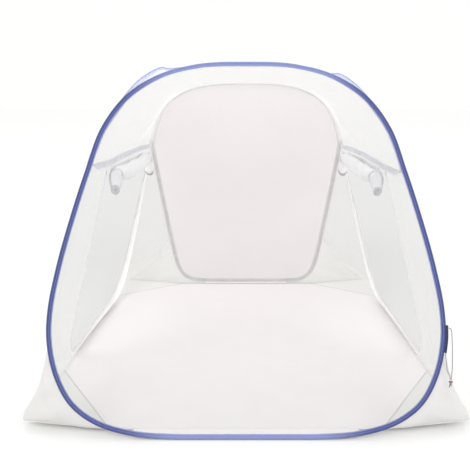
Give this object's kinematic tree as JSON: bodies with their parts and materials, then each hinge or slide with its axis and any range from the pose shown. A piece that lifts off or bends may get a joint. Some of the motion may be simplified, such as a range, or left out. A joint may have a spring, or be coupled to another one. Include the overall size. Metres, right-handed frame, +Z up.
{
  "type": "mosquito net tent",
  "caption": "Free-standing pop-up mosquito net tent with leaning end hoops, saddle roof, fabric floor with raised corners and rolled-up side doors",
  "frame": {"origin": "middle of the outer box at ground level, on the underside of the floor", "axes": "+Z up; -Y towards the front hoop with the strap, +Y towards the rear hoop; +X towards the right-hand door seen from the front"},
  "size_m": [1.81, 2.1466, 1.4595],
  "materials": {
    "navy_binding": "woven binding, matt",
    "pale_lavender_binding": "woven binding, matt",
    "sprung_steel_wire": "bright drawn wire",
    "crimped_steel": "bright crimped tube",
    "white_netting": "fine knitted mesh",
    "white_polyester": "plain weave, slight sheen",
    "floor_polyester": "plain weave, matt",
    "white_zip_tape": "ribbed tape",
    "slider_metal": "plated die casting",
    "white_pull": "smooth moulding",
    "dark_webbing": "woven webbing",
    "grey_cord": "braided cord",
    "knot_ends": "cut cord ends"
  },
  "bodies": {
    "tent_floor": {"floor_sheet": "floor_polyester", "front_sill": "white_polyester", "front_gusset_left": "white_polyester", "front_gusset_right": "white_polyester", "rear_gusset_left": "white_polyester", "rear_gusset_right": "white_polyester", "side_net_front_left": "white_netting", "side_net_front_right": "white_netting", "side_net_rear_left": "white_netting", "side_net_rear_right": "white_netting", "door_threshold_left": "white_polyester", "door_threshold_right": "white_polyester", "door_zip_left": "white_zip_tape", "door_zip_right": "white_zip_tape", "roof_hoop_wire": "sprung_steel_wire", "roof_hoop_ferrule": "crimped_steel", "roof_hoop_sleeve": "pale_lavender_binding", "roof_net": "white_netting", "front_arch_strip": "white_netting", "rear_arch_strip": "white_netting"},
    "front_hoop": {"front_hoop_wire": "sprung_steel_wire", "front_hoop_ferrule": "crimped_steel", "front_hoop_sleeve": "navy_binding", "front_net": "white_netting", "strap_anchor": "dark_webbing", "strap_cord_outer": "grey_cord", "strap_cord_inner": "grey_cord", "strap_knot": "knot_ends"},
    "rear_hem": {"rear_sill": "white_polyester"},
    "rear_hoop": {"rear_hoop_wire": "sprung_steel_wire", "rear_hoop_ferrule": "crimped_steel", "rear_hoop_sleeve": "navy_binding", "rear_net": "white_netting"},
    "rolled_door_left": {"door_roll_left": "white_netting", "door_tie_front_left": "white_polyester", "door_tie_rear_left": "white_polyester"},
    "rolled_door_right": {"door_roll_right": "white_netting", "door_tie_front_right": "white_polyester", "door_tie_rear_right": "white_polyester"},
    "slider_front_left": {"zip_slider_front_left": "slider_metal"},
    "pull_front_left": {"zip_pull_front_left": "white_pull"},
    "slider_front_right": {"zip_slider_front_right": "slider_metal"},
    "pull_front_right": {"zip_pull_front_right": "white_pull"},
    "slider_rear_left": {"zip_slider_rear_left": "slider_metal"},
    "pull_rear_left": {"zip_pull_rear_left": "white_pull"},
    "slider_rear_right": {"zip_slider_rear_right": "slider_metal"},
    "pull_rear_right": {"zip_pull_rear_right": "white_pull"}
  },
  "joints": [
    {"name": "rear_hoop_travel", "type": "slide", "parent": "tent_floor", "child": "rear_hem", "axis": [0, -1, 0], "range_m": [0, 2.05], "stiffness_N_per_m": 12, "springref_m": -1, "deforming": ["floor_sheet", "front_sill", "front_gusset_left", "front_gusset_right", "rear_gusset_left", "rear_gusset_right", "side_net_front_left", "side_net_front_right", "side_net_rear_left", "side_net_rear_right", "door_threshold_left", "door_threshold_right", "door_zip_left", "door_zip_right", "roof_hoop_wire", "roof_hoop_ferrule", "roof_hoop_sleeve", "roof_net", "front_arch_strip", "rear_arch_strip", "door_roll_left", "door_roll_right", "door_tie_front_left", "door_tie_front_right", "door_tie_rear_left", "door_tie_rear_right"]},
    {"name": "rear_hoop_tilt", "type": "hinge", "parent": "rear_hem", "child": "rear_hoop", "pos_m": [0, 1.0688, 0.0047], "axis": [-1, 0, 0], "range_deg": [0, 14.6]},
    {"name": "front_hoop_tilt", "type": "hinge", "parent": "tent_floor", "child": "front_hoop", "pos_m": [0, -1.0688, 0.0047], "axis": [1, 0, 0], "range_deg": [0, 14.6]},
    {"name": "rolled_door_swing_left", "type": "hinge", "parent": "tent_floor", "child": "rolled_door_left", "pos_m": [-0.6082, 0, 1.011], "axis": [0, -1, 0], "range_deg": [-6, 20]},
    {"name": "rolled_door_swing_right", "type": "hinge", "parent": "tent_floor", "child": "rolled_door_right", "pos_m": [0.6082, 0, 1.011], "axis": [0, 1, 0], "range_deg": [-6, 20]},
    {"name": "zip_travel_front_left", "type": "slide", "parent": "tent_floor", "child": "slider_front_left", "axis": [-0.2562, 0, -0.9666], "range_m": [0, 0.72]},
    {"name": "pull_flip_front_left", "type": "hinge", "parent": "slider_front_left", "child": "pull_front_left", "pos_m": [-0.64783, -0.453, 0.98093], "axis": [0, 1, 0], "range_deg": [0, 150]},
    {"name": "zip_travel_front_right", "type": "slide", "parent": "tent_floor", "child": "slider_front_right", "axis": [0.2562, 0, -0.9666], "range_m": [0, 0.72]},
    {"name": "pull_flip_front_right", "type": "hinge", "parent": "slider_front_right", "child": "pull_front_right", "pos_m": [0.64783, -0.453, 0.98093], "axis": [0, -1, 0], "range_deg": [0, 150]},
    {"name": "zip_travel_rear_left", "type": "slide", "parent": "tent_floor", "child": "slider_rear_left", "axis": [-0.2562, 0, -0.9666], "range_m": [0, 0.72]},
    {"name": "pull_flip_rear_left", "type": "hinge", "parent": "slider_rear_left", "child": "pull_rear_left", "pos_m": [-0.64783, 0.755, 0.98093], "axis": [0, 1, 0], "range_deg": [0, 150]},
    {"name": "zip_travel_rear_right", "type": "slide", "parent": "tent_floor", "child": "slider_rear_right", "axis": [0.2562, 0, -0.9666], "range_m": [0, 0.72]},
    {"name": "pull_flip_rear_right", "type": "hinge", "parent": "slider_rear_right", "child": "pull_rear_right", "pos_m": [0.64783, 0.755, 0.98093], "axis": [0, -1, 0], "range_deg": [0, 150]}
  ],
  "couplings": [
    {"joint": "rear_hoop_tilt", "follows": "rear_hoop_travel", "rad_per_m": 0.124},
    {"joint": "front_hoop_tilt", "follows": "rear_hoop_travel", "rad_per_m": 0.124}
  ]
}
